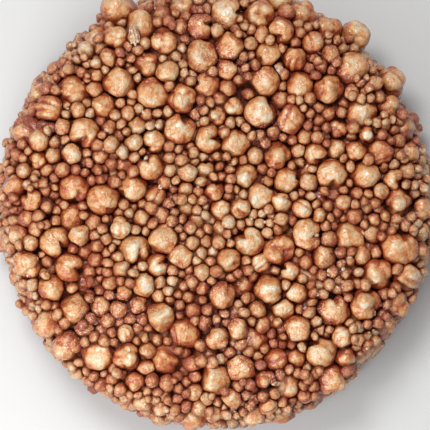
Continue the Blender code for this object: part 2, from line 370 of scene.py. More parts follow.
stuck_centres, stuck_radii = beads_stuck_on(np.random.default_rng([SEED, 14]))
grain_centres = np.concatenate((grain_centres, stuck_centres))
grain_radii = np.concatenate((grain_radii, stuck_radii))
grain_kinds = np.concatenate((grain_kinds, np.full(len(stuck_radii), UNPOPPED)))
grain_outward = way_out_of_heap(grain_centres)
lines = fan_of_lines(SIGHT_LINES)
looks = [look_round(grain, lines) for grain in range(len(grain_radii))]
grain_openness = np.array([openness for openness, _ in looks])
grain_neighbours = np.array([nearest for _, nearest in looks])
shows = grain_openness > SEEN_LINES / SIGHT_LINES


# --------------------------------------
# Core. Under the grains that show, the bite is one mass of small grain drowned in set cocoa syrup.
# Its near-black colour where it lies deep is partly dark syrup and partly painted shade for the deep
# gaps between grains, and it is milky where it has filled the hollows between the beads.
CORE_DEPTH = 2.3
CORE_FOOT = 0.9
CORE_BASE = 0.45
CORE_SIDES = 220
CORE_STEP = 0.55
CORE_BASE_RINGS = 4

# Beads drowned in the syrup, and the lumps where it pooled: how far apart, and how high.
CORE_BEADS = (0.95, 0.55)
DROWNED_BEADS = (0.90, 0.30)
FILM_LUMPS = (4.6, 1.0)
FILM_FROM = 0.20
FILM_FULL = 0.68
FILM_RISE = 0.95
FILM_LEAN = (0.7, -0.5)
SYRUP_PATCHES = 1.6
SYRUP_DIMPLES = 0.35
# Near-black syrup: partly dark syrup, partly painted shade for the deep gaps between grains.
DEEP_SYRUP_SHADE = (0.105, 0.016, 0.006, 1.0)
MILKY_SYRUP = (0.235, 0.074, 0.036, 1.0)


def fill_sockets(tree, node, sockets):
    """Each socket is given a plain value, or another node's output."""
    for socket, value in sockets.items():
        if isinstance(value, bpy.types.NodeSocket):
            tree.links.new(value, node.inputs[socket])
        else:
            node.inputs[socket].default_value = value
    return node


def shader_node(tree, kind, sockets, **settings):
    """A node with its settings, and its sockets filled."""
    node = tree.nodes.new("ShaderNode" + kind)
    for name, value in settings.items():
        setattr(node, name, value)
    return fill_sockets(tree, node, sockets)


def worked_out(tree, operation, *values):
    """A number worked out from up to three others."""
    return shader_node(tree, "Math", dict(enumerate(values)), operation=operation).outputs[0]


def corner_mark(tree, name):
    """A number kept on each corner of the mesh."""
    return shader_node(tree, "Attribute", {}, attribute_name=name).outputs["Fac"]


def grain_noise(tree, size, detail, rough=0.55):
    """Soft unevenness with lumps of that size in millimetres, fixed to the bite."""
    place = shader_node(tree, "TexCoord", {}).outputs["Object"]
    return shader_node(tree, "TexNoise", {"Vector": place, "Scale": 1.0 / (size * MM), "Detail": detail,
                                          "Roughness": rough}).outputs["Fac"]


def between(tree, value, low, high, to_low=0.0, to_high=1.0):
    """A value eased from one range to another."""
    return shader_node(tree, "MapRange", {"Value": value, "From Min": low, "From Max": high,
                                          "To Min": to_low, "To Max": to_high},
                       interpolation_type="SMOOTHSTEP").outputs["Result"]


def mixed(tree, share, first, second):
    """Two colours mixed by a share."""
    return shader_node(tree, "Mix", {0: share, 6: first, 7: second}, data_type="RGBA").outputs[2]


def wrinkles(tree, height, depth, strength):
    """Relief finer than the mesh, with depth in millimetres."""
    return shader_node(tree, "Bump", {"Height": height, "Distance": depth * MM,
                                      "Strength": strength}).outputs["Normal"]


def new_finish(name):
    """An empty material and its nodes."""
    material = bpy.data.materials.new(name)
    material.use_nodes = True
    return material, material.node_tree


def finished(material, sockets):
    """The material, with these sockets of its surface filled."""
    fill_sockets(material.node_tree, material.node_tree.nodes["Principled BSDF"], sockets)
    return material


def set_syrup(name, milk, shine):
    """Set cocoa syrup: dark and glossy, with milky patches and a faintly dimpled skin. Its near-black
    colour is partly painted shade.
    """
    material, tree = new_finish(name)
    place = shader_node(tree, "TexCoord", {}).outputs["Object"]
    dimples = grain_noise(tree, SYRUP_DIMPLES, 3.0)
    drowned = shader_node(tree, "TexVoronoi", {"Vector": place, "Scale": 1.0 / (DROWNED_BEADS[0] * MM)},
                          feature="SMOOTH_F1").outputs["Distance"]
    patches = between(tree, grain_noise(tree, SYRUP_PATCHES, 4.0), 0.62 - milk, 0.82 - milk)
    patches = worked_out(tree, "MAXIMUM", patches, corner_mark(tree, "film"))
    patches = worked_out(tree, "MULTIPLY", patches, between(tree, drowned, 0.25, 0.75, 1.0, 0.0))
    drowned = worked_out(tree, "MULTIPLY_ADD", drowned, -1.0, dimples)
    return finished(material, {
        "Base Color": mixed(tree, patches, DEEP_SYRUP_SHADE, MILKY_SYRUP),
        "Roughness": between(tree, dimples, 0.3, 0.7, shine, shine + 0.22),
        "Specular IOR Level": 0.22,
        "Normal": wrinkles(tree, drowned, DROWNED_BEADS[1], 1.0),
    })


def in_scene(name, data):
    """A new object in the scene."""
    thing = bpy.data.objects.new(name, data)
    bpy.context.scene.collection.objects.link(thing)
    return thing


def fix_to_bite(name, mesh, material):
    """A piece of the bite from a mesh in millimetres: in metres, smooth, and moving with the bite."""
    mesh.transform(Matrix.Scale(MM, 4))
    mesh.shade_smooth()
    mesh.materials.append(material)
    piece = in_scene(name, mesh)
    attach(piece, "root")


def syrup_film(places):
    """How full of milky syrup the hollows are round each place, from nought to one."""
    sideways, back = FILM_LEAN
    x, y, z = np.moveaxis(places, -1, 0)
    level = lumps(x + sideways * z, y + back * z, FILM_LUMPS, film_grid)
    return eased(((level - FILM_FROM) / (FILM_FULL - FILM_FROM)).clip(0.0, 1.0))


def core_section():
    """Half-section of the core from the middle of its base to the middle of its crown."""
    foot = BITE_RADIUS - CORE_DEPTH
    head = foot - WALL_LEAN
    top = BITE_HEIGHT - CORE_DEPTH
    shoulder = SHOULDER - CORE_DEPTH / 2
    wall = top - shoulder - CORE_FOOT
    points = [(out, CORE_BASE) for out in np.linspace(0.0, foot - CORE_FOOT, CORE_BASE_RINGS + 1)]
    rows = round(wall / CORE_STEP)
    for share in np.arange(rows) / rows:
        points.append((foot - WALL_LEAN * share, CORE_FOOT + wall * share))
    rows = round(shoulder * math.pi / 2 / CORE_STEP)
    for turn in np.arange(rows) / rows * math.pi / 2:
        points.append((head - shoulder * (1 - math.cos(turn)), top - shoulder * (1 - math.sin(turn))))
    rows = round((head - shoulder) / CORE_STEP)
    for share in np.arange(rows, -1, -1) / rows:
        points.append(((head - shoulder) * share, top))
    return points


film_grid = {FILM_LUMPS[0]: np.random.default_rng([SEED, 13]).uniform(-1, 1, (LUMP_GRID, LUMP_GRID))}
core_mesh = bmesh.new()
corners = [core_mesh.verts.new((out, 0.0, z)) for out, z in core_section()]
sides = [core_mesh.edges.new(pair) for pair in zip(corners, corners[1:])]
bmesh.ops.spin(core_mesh, geom=corners + sides, cent=(0, 0, 0), axis=(0, 0, 1),
               angle=math.tau, steps=CORE_SIDES, use_duplicate=False)
bmesh.ops.remove_doubles(core_mesh, verts=core_mesh.verts, dist=0.005)
bmesh.ops.recalc_face_normals(core_mesh, faces=core_mesh.faces)
core_mesh.normal_update()
for corner in core_mesh.verts:
    if corner.co.z < (CORE_BASE + CORE_FOOT) / 2:
        continue
    place = corner.co.copy()
    level = place.z / BITE_HEIGHT
    out = max(place.xy.length, TINY)
    rise = crown_height(place.x, place.y, grids) - BITE_HEIGHT
    waves = lumps(place.x / out * BITE_RADIUS, place.y / out * BITE_RADIUS, RIM_LUMPS, grids)
    relief = CORE_BEADS[1] * noise.noise(place / CORE_BEADS[0]) + FILM_RISE * syrup_film(np.array(place))
    corner.co += corner.normal * relief
    corner.co.z += rise * level
    corner.co.xy *= 1.0 + waves / BITE_RADIUS
core_data = bpy.data.meshes.new("syrup_core")
core_mesh.to_mesh(core_data)
core_mesh.free()
film = core_data.attributes.new("film", "FLOAT", "POINT")
film.data.foreach_set("value", syrup_film(np.array([corner.co for corner in core_data.vertices])))
fix_to_bite("syrup_core", core_data, set_syrup("deep_cocoa_syrup", 0.10, 0.22))


# --------------------------------------
# Seed beads. Most of the grain is half-toasted amaranth of just over a millimetre: a lens with a
# pale rim round it, faceted where it dried. Syrup coats it and stays thickest between the beads,
# where the coat is also darkened with painted shade.
BEAD_CUTS = 4
FOOT_BEAD_CUTS = 3
UNDER_BEAD_CUTS = 2
FOOT_HEIGHT = 2.4
UNDER_RADIUS = 22.0
BEAD_FACETS = 11
BUBBLE_SIZE = 0.62
WRINKLE_DEPTH = 0.25
COAT_WRINKLES = 0.22
CREASE_SHARE = 0.12
CREASE_WIDTH = 0.085
TINT_PATCHES = 5.0
PATCHY_TINT = 1.75
COAT_IOR = 1.62
COAT_GLOSS = (0.28, 0.12)
# How far the painted highlight leans to the upper side of each grain.
TOP_LIGHT_UPWARD = 1.3
SATIN = (0.34, 0.54)
TRAY_GAP = 0.02
STUCK_GAP = 0.015
# How far from a neighbour the darkening reaches: partly pooled syrup, partly painted shade.
CREVICE_SHADE_REACH = 0.24
# Depth under the skin over which the coat darkens: partly pooled syrup, partly painted shade.
SUNK_SHADE_DEPTH = 2.0
STUCK_REACH = 1.5

# Coated grain from dark syrup to pale toasted grain, by how much syrup it has kept, with painted light
# mixed in: a painted highlight where it faces up and out, painted shade in the gaps, hollows and deep
# places.
COATED_GRAIN = (
    (0.00, (0.285, 0.047, 0.014)),
    (0.20, (0.420, 0.112, 0.031)),
    (0.40, (0.520, 0.205, 0.067)),
    (0.58, (0.570, 0.296, 0.121)),
    (0.74, (0.592, 0.374, 0.199)),
    (0.88, (0.602, 0.464, 0.304)),
    (1.00, (0.630, 0.543, 0.412)),
)
MILKY_COAT = (0.310, 0.116, 0.051, 1.0)
# Pale specks: partly dried sugar and starch dust, partly painted glints.
FROST_AND_GLINT = (0.780, 0.650, 0.530, 1.0)
FROST_GLINT_SPOTS = 0.20
FROST_PATCHES = 7.0


def cube_ball(cuts):
    """A unit ball from a cube with that many faces along each edge: its corners and its faces."""
    places = {}
    faces = []
    for axis in range(3):
        for end in (0, cuts):
            for a in range(cuts):
                for b in range(cuts):
                    ring = [(a, b), (a + 1, b), (a + 1, b + 1), (a, b + 1)]
                    if (end == 0) != (axis == 1):
                        ring.reverse()
                    face = []
                    for u, v in ring:
                        place = [u, v]
                        place.insert(axis, end)
                        face.append(places.setdefault(tuple(place), len(places)))
                    faces.append(face)
    cube = np.tan((np.array(list(places)) * 2.0 / cuts - 1.0) * math.pi / 4)
    return cube / lengths(cube)[:, None], np.array(faces)


def past(amount, softness):
    """How far a value is past nought, eased in."""
    return (amount + np.sqrt(amount * amount + softness * softness)) / 2


def flatten_against(points, ways, levels, softness):
    """Press grains flat where they pass a level along each of their own ways."""
    for way, level in zip(np.moveaxis(ways, 1, 0), levels.T):
        beyond = np.einsum("nvc,nc->nv", points, way) - level[:, None]
        points -= past(beyond, softness)[:, :, None] * way[:, None, :]


def facet(forms, number, levels, softness, draw):
    """Soft flats that look any way, at a distance between these levels."""
    ways = unit(draw.normal(size=(len(forms), number, 3)))
    flatten_against(forms, ways, draw.uniform(*levels, (len(forms), number)), softness)


def wobble(ball, count, waves, draw):
    """Low swells over each grain, from about -1 to 1."""
    ways = unit(draw.normal(size=(count, 5, 3))) * draw.uniform(0.6, 1.4, (count, 5, 1)) * waves
    starts = draw.uniform(0.0, math.tau, (count, 1, 5))
    return np.cos(np.einsum("vc,nkc->nvk", ball, ways) + starts).sum(axis=2) / 2.5


def folds(ball, count, waves, draw):
    """Swells parted by narrow folds, from nought to one, and where the folds are."""
    level = wobble(ball, count, waves, draw)
    return np.minimum(np.abs(level) * 2.4, 1.0), np.exp(-(level / 0.13) ** 2)


def turned_outward(outward, tilt, draw, spin=None):
    """Turns that bring each grain's own Z near the way out, and its Y to a spin from the scene's X."""
    count = len(outward)
    up = unit(outward + tilt * draw.normal(size=(count, 3)))
    angle = draw.uniform(0.0, math.tau, count) if spin is None else spin
    way = np.column_stack((np.cos(angle), np.sin(angle), 0.02 + np.zeros(count)))
    side = unit(np.cross(way, up))
    return np.stack((side, np.cross(up, side), up), axis=2)


def place_grains(chosen, forms, turns, softness=0.06):
    """Turn, size and lay the forms, pressed against their neighbours and the tray."""
    size = grain_radii[chosen][:, None, None]
    points = np.einsum("nvc,ndc->nvd", forms, turns) * size
    beside = grain_neighbours[chosen]
    toward = grain_centres[beside] - grain_centres[chosen][:, None]
    far = lengths(toward) + TINY
    own = grain_radii[chosen][:, None]
    other = grain_radii[beside]
    level = (far ** 2 + own ** 2 - other ** 2) / (2 * far) - STUCK_GAP
    level = np.where(far < (own + other) * STUCK_REACH, np.maximum(level, own * 0.35), own * 9)
    flatten_against(points, toward / far[:, :, None], level, softness)
    points += grain_centres[chosen][:, None]
    points[:, :, 2] = TRAY_GAP + past(points[:, :, 2] - TRAY_GAP, TRAY_GAP)
    return points


def coat_marks(chosen, points, shaded_hollow, draw):
    """Marks on each corner: how far it faces up and out, for a painted highlight; how near a neighbour
    is and how deep it lies, for darkening that is partly syrup and partly painted shade; and so on.
    """
    centre = grain_centres[chosen][:, None]
    # Painted highlight: corners facing this way are drawn paler.
    lit_way = unit(grain_outward[chosen] + np.array([0.0, 0.0, TOP_LIGHT_UPWARD]))
    out = np.einsum("nvc,nc->nv", unit(points - centre), lit_way)
    nearest = np.full(points.shape[:2], 9.0)
    for beside in grain_neighbours[chosen].T:
        gap = lengths(points - grain_centres[beside][:, None])
        nearest = np.minimum(nearest, gap - grain_radii[beside][:, None])
    depth, _ = skin_distance(points.reshape(-1, 3).T, 0.0, grids, True)
    depth = np.minimum(-depth.reshape(points.shape[:2]), points[:, :, 2])
    return {
        # Painted highlight: paler on the side facing up and out.
        "painted_top_light": 0.5 + 0.5 * out,
        # Darker near neighbours: partly pooled syrup, partly painted shade.
        "crevice_shade": np.exp(-np.maximum(nearest, 0.0) / CREVICE_SHADE_REACH),
        # Painted shade in notches, furrows, pits and folds.
        "shaded_hollow": shaded_hollow,
        "tint": np.outer(draw.random(len(chosen)), np.ones(points.shape[1])),
        # Darker the deeper the corner lies: partly pooled syrup, partly painted shade.
        "sunk": (depth / SUNK_SHADE_DEPTH).clip(0.0, 1.0),
        "film": syrup_film(points),
        # Painted shade: darker toward the rim of the bite.
        "rim": np.hypot(points[:, :, 0], points[:, :, 1]) / BITE_RADIUS,
    }


def joined_grains(name, points, faces, marks):
    """One mesh of many like grains, none below the tray, with a number for each mark on each corner."""
    points[:, :, 2] = np.maximum(points[:, :, 2], TRAY_GAP)
    count, corners, _ = points.shape
    mesh = bpy.data.meshes.new(name)
    mesh.vertices.add(count * corners)
    mesh.vertices.foreach_set("co", points.astype(np.float32).ravel())
    loops = (faces[None] + corners * np.arange(count)[:, None, None]).ravel()
    mesh.loops.add(len(loops))
    mesh.loops.foreach_set("vertex_index", loops)
    mesh.polygons.add(len(loops) // 4)
    mesh.polygons.foreach_set("loop_start", np.arange(0, len(loops), 4))
    mesh.update(calc_edges=True)
    for mark, values in marks.items():
        layer = mesh.attributes.new(mark, "FLOAT", "POINT")
        layer.data.foreach_set("value", values.astype(np.float32).ravel())
    return mesh


def lay_coated(name, chosen, points, faces, shaded_hollow, draw, finish):
    """One piece of coated grains."""
    mesh = joined_grains(name, points, faces, coat_marks(chosen, points, shaded_hollow, draw))
    fix_to_bite(name, mesh, finish)


def coated_grain(name, patch, bareness, tint, milk):
    """Toasted grain under a thin coat of cocoa syrup, worn pale in patches of that size. Grains of one
    kind differ by tint, and milk is how much the coat hides them everywhere. The colour also holds a
    painted highlight on the side facing up and out, and painted shade near neighbours, in hollows, deep
    down and toward the rim."""
    material, tree = new_finish(name)
    mark = {key: corner_mark(tree, key)
            for key in ("painted_top_light", "crevice_shade", "shaded_hollow", "tint", "sunk", "film", "rim")}
    specks = grain_noise(tree, patch * 0.4, 2.0)
    bubbles = grain_noise(tree, patch * BUBBLE_SIZE, 2.0, 0.50)
    crease = worked_out(tree, "ABSOLUTE", worked_out(tree, "SUBTRACT", bubbles, 0.5))
    crease = between(tree, crease, 0.0, CREASE_WIDTH, 1.0, 0.0)
    bare_and_painted_light = bareness
    # What bares the grain or covers it, together with the painted highlight and painted shade: from
    # where to where it counts, and by how much.
    for value, low, high, share in (
        # Painted highlight on the side facing up and out.
        (mark["painted_top_light"], 0.52, 1.10, 0.73),
        (grain_noise(tree, patch, 3.0, 0.58), 0.36, 0.64, 0.41),
        (specks, 0.35, 0.65, 0.10),
        (mark["tint"], 0.0, 1.0, tint),
        (grain_noise(tree, TINT_PATCHES, 2.0), 0.36, 0.64, PATCHY_TINT * tint),
        # Darker deep down and near neighbours: partly pooled syrup, partly painted shade.
        (mark["sunk"], 0.06, 0.90, -0.54),
        (mark["crevice_shade"], 0.30, 1.0, -0.10),
        # Painted shade in notches, furrows, pits and folds.
        (mark["shaded_hollow"], 0.0, 1.0, -0.42),
        # Painted shade toward the rim of the bite.
        (mark["rim"], 0.25, 0.85, -0.13),
        (crease, 0.0, 1.0, -0.13),
    ):
        bare_and_painted_light = worked_out(tree, "ADD", bare_and_painted_light, between(tree, value, low, high, 0.0, share))
    ramp = shader_node(tree, "ValToRGB", {"Fac": bare_and_painted_light})
    stops = ramp.color_ramp.elements
    for position, colour in COATED_GRAIN[1:-1]:
        stops.new(position).color = (*colour, 1.0)
    stops[0].color = (*COATED_GRAIN[0][1], 1.0)
    stops[-1].color = (*COATED_GRAIN[-1][1], 1.0)
    low = between(tree, worked_out(tree, "MAXIMUM", mark["crevice_shade"], mark["sunk"]), 0.25, 0.8, 0.0, 0.50)
    in_film = worked_out(tree, "MULTIPLY_ADD", mark["film"], low, milk)
    colour = mixed(tree, in_film, ramp.outputs["Color"], MILKY_COAT)
    # Pale specks: partly dried sugar and starch dust, partly painted glints.
    glint_spots = between(tree, grain_noise(tree, FROST_GLINT_SPOTS, 2.0), 0.58, 0.68)
    dusty = between(tree, grain_noise(tree, FROST_PATCHES, 1.0), 0.50, 0.64, 0.0, 0.80)
    swell = worked_out(tree, "MULTIPLY_ADD", crease, -CREASE_SHARE, bubbles)
    return finished(material, {
        "Base Color": mixed(tree, worked_out(tree, "MULTIPLY", glint_spots, dusty), colour, FROST_AND_GLINT),
        "Roughness": between(tree, specks, 0.3, 0.7, *SATIN),
        "Specular IOR Level": 0.20,
        "Coat Weight": 1.0,
        "Coat IOR": COAT_IOR,
        "Coat Roughness": between(tree, specks, 0.38, 0.66, *COAT_GLOSS),
        "Normal": wrinkles(tree, swell, WRINKLE_DEPTH, 1.0),
        "Coat Normal": wrinkles(tree, swell, COAT_WRINKLES, 1.0),
    })


def bead_forms(ball, count, draw):
    """Lenses with a raised rim, some nearly round, with soft facets."""
    flat = draw.uniform(0.66, 0.96, (count, 1))
    long = draw.uniform(1.0, 1.30, (count, 1))
    swell, fold = folds(ball, count, 2.6, draw)
    rim = np.exp(-(ball[:, 2] / 0.22) ** 2)
    forms = ball[None] * (0.97 + 0.05 * rim[None] + 0.07 * swell)[:, :, None]
    forms[:, :, 0] *= long
    forms[:, :, 2] *= flat
    facet(forms, BEAD_FACETS, (0.74, 0.98), 0.015, draw)
    return forms * draw.uniform(0.98, 1.28, (count, 1, 1)), fold * 0.5


def make_beads(name, chosen, cuts):
    """One piece of seed beads."""
    draw = np.random.default_rng([SEED, cuts, len(chosen)])
    ball, faces = cube_ball(cuts)
    forms, shaded_hollow = bead_forms(ball, len(chosen), draw)
    any_way = unit(draw.normal(size=(len(chosen), 3)))
    points = place_grains(chosen, forms, turned_outward(any_way, 0.0, draw))
    lay_coated(name, chosen, points, faces, shaded_hollow, draw, bead_finish)


bead_finish = coated_grain("coated_seed_bead", 0.42, -0.62, 0.26, 0.13)
beads = np.nonzero(shows & (grain_kinds == UNPOPPED))[0]
x, y, z = grain_centres[beads].T
in_foot = z < FOOT_HEIGHT
under = in_foot & (np.hypot(x, y) < UNDER_RADIUS)
make_beads("under_beads", beads[under], UNDER_BEAD_CUTS)
make_beads("foot_beads", beads[in_foot & ~under], FOOT_BEAD_CUTS)
make_beads("left_seed_beads", beads[~in_foot & (x < 0)], BEAD_CUTS)
make_beads("right_seed_beads", beads[~in_foot & (x >= 0)], BEAD_CUTS)


# --------------------------------------
# Half-popped grains. These swelled in the pan without opening, to smooth ovals, drops and barrels of
# up to two millimetres, some with a shallow crease. The same syrup coats them.
SWOLLEN_CUTS = 5
SWOLLEN_FACETS = 3


def swollen_forms(ball, count, draw):
    """Ovals and drops: longer than wide, often with one end slimmer, and softly faceted."""
    long = draw.uniform(1.02, 1.34, (count, 1))
    slim = draw.uniform(0.0, 0.24, (count, 1))
    swell, fold = folds(ball, count, 2.0, draw)
    waist = draw.uniform(-0.3, 0.14, (count, 1)).clip(0.0) * np.exp(-(ball[:, 0] / 0.28) ** 2)
    forms = ball[None] * (0.95 + 0.09 * swell - waist)[:, :, None]
    width = 1.0 - slim * ball[None, :, 0]
    forms[:, :, 1] *= width
    forms[:, :, 2] *= width * draw.uniform(0.84, 1.0, (count, 1))
    forms[:, :, 0] *= long
    facet(forms, SWOLLEN_FACETS, (0.80, 1.02), 0.05, draw)
    return forms * 1.14, (fold * 0.5 + waist * 5.0).clip(0.0, 1.0)


swollen = np.nonzero(shows & (grain_kinds == HALF_POPPED))[0]
draw = np.random.default_rng([SEED, 20])
ball, faces = cube_ball(SWOLLEN_CUTS)
turns = turned_outward(np.roll(grain_outward[swollen], 1, axis=1), 0.8, draw)
forms, shaded_hollow = swollen_forms(ball, len(swollen), draw)
points = place_grains(swollen, forms, turns)
lay_coated("half_popped_grains", swollen, points, faces, shaded_hollow, draw,
           coated_grain("coated_half_popped_grain", 0.52, -0.55, 0.24, 0.08))


# --------------------------------------
# Round puffs. Popped grains that burst evenly into a lumpy ball two to four millimetres across, with
# soft flats where they pressed on others and a pit or two where the hull tore.
ROUND_CUTS = 7
PUFF_FACETS = 6
PUFF_PITS = 2
PUFF_PATCH = 0.95
PUFF_TINT = 0.15

# The ways a grain pops, and how often. The landmark puffs have their own.
POPPED_FORMS = (("round", 0.30), ("curled", 0.18), ("creased", 0.15), ("lobed", 0.37))

popped = np.nonzero(shows & (grain_kinds == POPPED))[0]
draw = np.random.default_rng([SEED, 30])
form_names, form_shares = zip(*POPPED_FORMS)
popped_forms = dict(zip(popped, draw.choice(form_names, len(popped), p=form_shares)))
popped_forms |= {grain: puff[3] for grain, puff in enumerate(LANDMARK_PUFFS)}


def face_the_eye(chosen, tilt, draw):
    """Turns with the notched side out of the heap. Landmark puffs turn their notch as they lie."""
    spin = draw.uniform(0.0, math.tau, len(chosen))
    landmark = chosen < len(LANDMARK_PUFFS)
    spin[landmark] = [math.radians(LANDMARK_PUFFS[grain][4]) for grain in chosen[landmark]]
    own_tilt = np.where(landmark, 0.05, tilt)[:, None]
    return turned_outward(grain_outward[chosen], own_tilt, draw, spin)


def pop_in_place(name, form, cuts, shape, tilt, number, finish, bareness):
    """One piece of puffs of one form, from the draws of that number."""
    chosen = np.array([grain for grain in popped if popped_forms[grain] == form])
    draw = np.random.default_rng([SEED, number])
    ball, faces = cube_ball(cuts)
    forms, shaded_hollow = shape(ball, len(chosen), draw)
    points = place_grains(chosen, forms, face_the_eye(chosen, tilt, draw), 0.084)
    lay_coated(name, chosen, points, faces, shaded_hollow, draw,
               coated_grain(finish, PUFF_PATCH, bareness, PUFF_TINT, 0.0))


def round_forms(ball, count, draw):
    """Lumpy balls with soft flats and pits."""
    broad, fold = folds(ball, count, 1.9, draw)
    small, _ = folds(ball, count, 4.2, draw)
    swell = 0.84 + 0.19 * broad + 0.12 * small
    shaded_hollow = fold * 0.5
    for _ in range(PUFF_PITS):
        way = unit(np.array([0.0, 0.0, 0.55]) + 0.7 * draw.normal(size=(count, 3)))
        wide = draw.uniform(0.10, 0.24, (count, 1))
        deep = draw.uniform(-0.10, 0.30, (count, 1)).clip(0.0)
        pit = np.exp(-(1.0 - way @ ball.T) / (wide * wide))
        swell -= deep * pit
        shaded_hollow = np.maximum(shaded_hollow, pit * deep * 4.0)
    forms = ball[None] * swell[:, :, None]
    forms *= draw.uniform(0.82, 1.18, (count, 1, 3))
    facet(forms, PUFF_FACETS, (0.76, 1.02), 0.06, draw)
    return forms * 1.10, shaded_hollow.clip(0.0, 1.0)


pop_in_place("round_puffs", "round", ROUND_CUTS, round_forms, 0.8, 31, "coated_puff", -0.34)


# --------------------------------------
# Curled puffs. Here the hull split along one side, and the white of the grain swelled round it into
# a fat kidney, with a notch that curls in toward the middle where its lips meet.
CURL_CUTS = 9
NOTCH_WIDTH = (0.23, 0.38)
NOTCH_DEPTH = (0.36, 0.56)
NOTCH_CURL = 1.5
NOTCH_END = 0.16


def curled_forms(ball, count, draw):
    """Fat ovals with a curled notch and a lip on each side of it, open along their own Y."""
    wide = draw.uniform(*NOTCH_WIDTH, (count, 1))
    deep = draw.uniform(*NOTCH_DEPTH, (count, 1))
    broad, fold = folds(ball, count, 2.6, draw)
    level = np.hypot(ball[:, 0], ball[:, 1])
    bearing = np.arctan2(ball[:, 0], ball[:, 1] + TINY)
    bearing = np.abs(bearing + draw.uniform(-NOTCH_CURL, NOTCH_CURL, (count, 1)) * (1.0 - level))
    open_side = ((level - NOTCH_END) * 2.4).clip(0.0, 1.0) * (ball[:, 2] * 1.6 + 1.4).clip(0.0, 1.0)
    notch = np.exp(-(bearing / wide) ** 2) * open_side
    lips = np.exp(-((bearing - 2.1 * wide) / wide) ** 2) * open_side
    swell = 0.97 + 0.09 * broad + 0.07 * wobble(ball, count, 6.0, draw) - deep * notch + 0.06 * lips
    forms = ball[None] * swell[:, :, None]
    forms *= draw.uniform((0.98, 0.90, 0.84), (1.17, 1.04, 1.00), (count, 3))[:, None]
    return forms, np.maximum(notch, fold * 0.6)


pop_in_place("curled_puffs", "curled", CURL_CUTS, curled_forms, 0.45, 32, "coated_curled_puff", -0.32)


# --------------------------------------
# Creased puffs. These opened like a coffee bean: a long furrow, sometimes two, runs over an oval
# body, with a rolled lip on each side.
CREASE_CUTS = 8


def creased_forms(ball, count, draw):
    """Ovals with one or two furrows along their own X."""
    broad, _ = folds(ball, count, 2.2, draw)
    swell = 0.97 + 0.08 * broad + 0.06 * wobble(ball, count, 6.0, draw)
    second = draw.random((count, 1)) < 0.2
    spread = np.where(second, 0.62, 0.0)
    bow = draw.uniform(-0.3, 0.3, (count, 1))
    off = draw.uniform(-0.2, 0.2, (count, 1))
    wide = draw.uniform(0.09, 0.15, (count, 1))
    deep = draw.uniform(0.12, 0.26, (count, 1))
    end = (1.0 - (ball[:, 0] / 0.95) ** 4).clip(0.0)
    front = (ball[:, 2] * 1.6 + 0.3).clip(0.0, 1.0)
    shaded_hollow = np.zeros((count, len(ball)))
    for side in (-0.5, 0.5):
        aside = np.abs(ball[:, 1] - (off + spread * side + bow * ball[:, 0] ** 2))
        furrow = np.exp(-(aside / wide) ** 2) * end * front
        lips = np.exp(-((aside - 2.1 * wide) / wide) ** 2) * end * front
        share = np.where(second, 1.0, 0.5)
        swell = swell - share * (deep * furrow - 0.045 * lips)
        shaded_hollow = np.maximum(shaded_hollow, furrow)
    forms = ball[None] * swell[:, :, None]
    forms[:, :, 0] *= draw.uniform(1.05, 1.3, (count, 1))
    forms[:, :, 1] *= draw.uniform(0.9, 1.1, (count, 1))
    forms[:, :, 2] *= draw.uniform(0.85, 1.0, (count, 1))
    return forms, shaded_hollow


pop_in_place("creased_puffs", "creased", CREASE_CUTS, creased_forms, 0.5, 33,
             "coated_creased_puff", -0.34)


# --------------------------------------
# Lobed puffs. A grain that burst on several sides at once is three to five swollen lobes grown
# together, like popcorn in small, with folds of syrup between them.
LOBE_CUTS = 8
LOBES = 5
LOBE_SHARPNESS = 9.0


def lobed_forms(ball, count, draw):
    """Lobes grown together: along each line from the middle the furthest lobe counts, eased."""
    reach = []
    for lobe in range(LOBES):
        angle = math.tau * lobe / (LOBES - 1) + draw.uniform(-0.5, 0.5, count)
        level = draw.uniform(-0.2, 0.3, count)
        way = np.column_stack((np.cos(angle), np.sin(angle), level))
        if lobe == LOBES - 1:
            way = np.column_stack((0.3 * np.cos(angle), 0.3 * np.sin(angle), np.ones(count)))
        middle = unit(way) * draw.uniform(0.34, 0.50, (count, 1))
        radius = draw.uniform(0.52, 0.64, (count, 1))
        near = middle @ ball.T
        reach.append(near + np.sqrt(near ** 2 - (middle ** 2).sum(axis=1)[:, None] + radius ** 2))
    reach = np.array(reach)
    furthest = np.log(np.exp(LOBE_SHARPNESS * reach).sum(axis=0)) / LOBE_SHARPNESS
    ordered = np.sort(reach, axis=0)
    shaded_hollow = np.exp(-(ordered[-1] - ordered[-2]) / 0.07)
    furthest = furthest - 0.10 * shaded_hollow + 0.06 * wobble(ball, count, 6.0, draw)
    forms = ball[None] * furthest[:, :, None]
    return forms * 1.16 / furthest.max(axis=1)[:, None, None], shaded_hollow


pop_in_place("lobed_puffs", "lobed", LOBE_CUTS, lobed_forms, 0.6, 34, "coated_lobed_puff", -0.32)


# --------------------------------------
# Syrup necks. Where two grains touch, the warm syrup drew up into a waisted neck between them and
# set there, thin and milky brown. These necks are what holds the bite together.
NECK_SIDES = 8
NECK_RINGS = 4
NECK_REACH = 0.16
NECK_OPENNESS = 0.06
NECKS = 1100
NECK_WIDTH = (0.42, 0.62)
NECK_WAIST = 0.62
NECK_SUNK = 0.90


